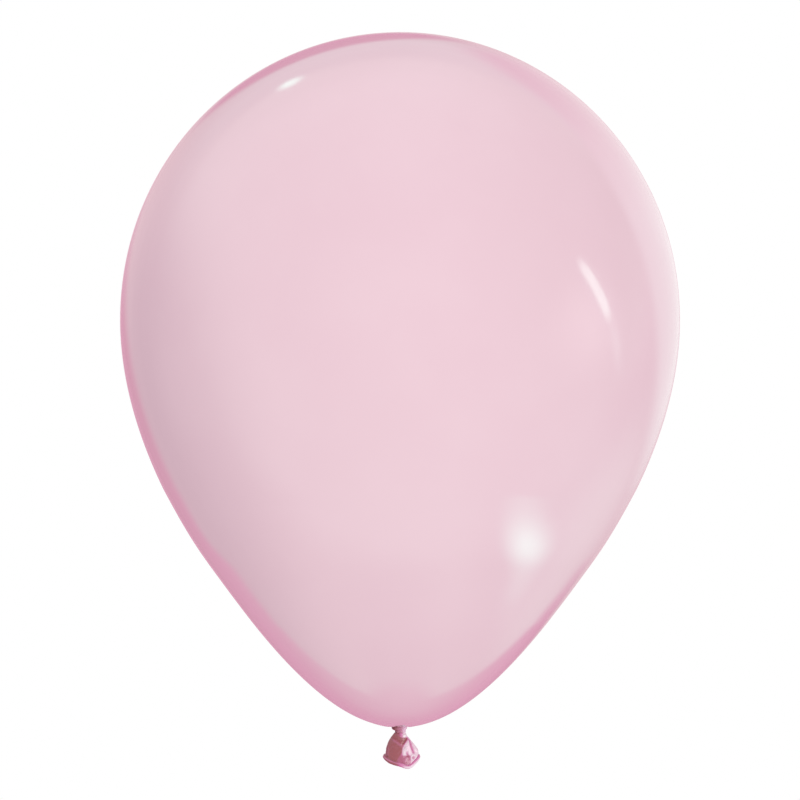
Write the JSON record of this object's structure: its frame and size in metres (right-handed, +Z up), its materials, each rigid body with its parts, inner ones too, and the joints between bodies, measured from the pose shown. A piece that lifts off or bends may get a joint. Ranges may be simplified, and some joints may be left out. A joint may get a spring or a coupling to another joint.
{
  "type": "latex balloon",
  "caption": "Round inflated latex party balloon, pear-shaped below, knotted closed, with a flexible flattened tail and a rolled mouth bead.",
  "frame": {"origin": "centre of the pinched neck just under the knot, where a ribbon is tied", "axes": "+Z up from the pinch through the crown, X across the flat width of the tail, -Y the side the tail shows flat"},
  "size_m": [0.2994, 0.2994, 0.3945],
  "materials": {
    "stretched_film": "gloss",
    "gathered_film": "gloss",
    "slack_film": "gloss",
    "rolled_film": "satin"
  },
  "bodies": {
    "balloon": {"envelope": "stretched_film", "throat": "gathered_film"},
    "knot": {"knot": "slack_film"},
    "neck": {"neck_waist": "slack_film"},
    "tail": {"tail_skirt": "slack_film", "rolled_lip": "rolled_film"}
  },
  "joints": [
    {"name": "knot_twist", "type": "hinge", "parent": "balloon", "child": "knot", "pos_m": [0, 0, 0.003], "axis": [0, 0, 1], "range_deg": [-90, 90], "stiffness_Nm_per_rad": 0.0001},
    {"name": "tail_nod", "type": "hinge", "parent": "knot", "child": "neck", "pos_m": [0, 0, 0], "axis": [1, 0, 0], "range_deg": [-50, 50], "stiffness_Nm_per_rad": 0.0002},
    {"name": "tail_swing", "type": "hinge", "parent": "neck", "child": "tail", "pos_m": [0, 0, 0], "axis": [0, 1, 0], "range_deg": [-35, 35], "stiffness_Nm_per_rad": 0.0002}
  ]
}
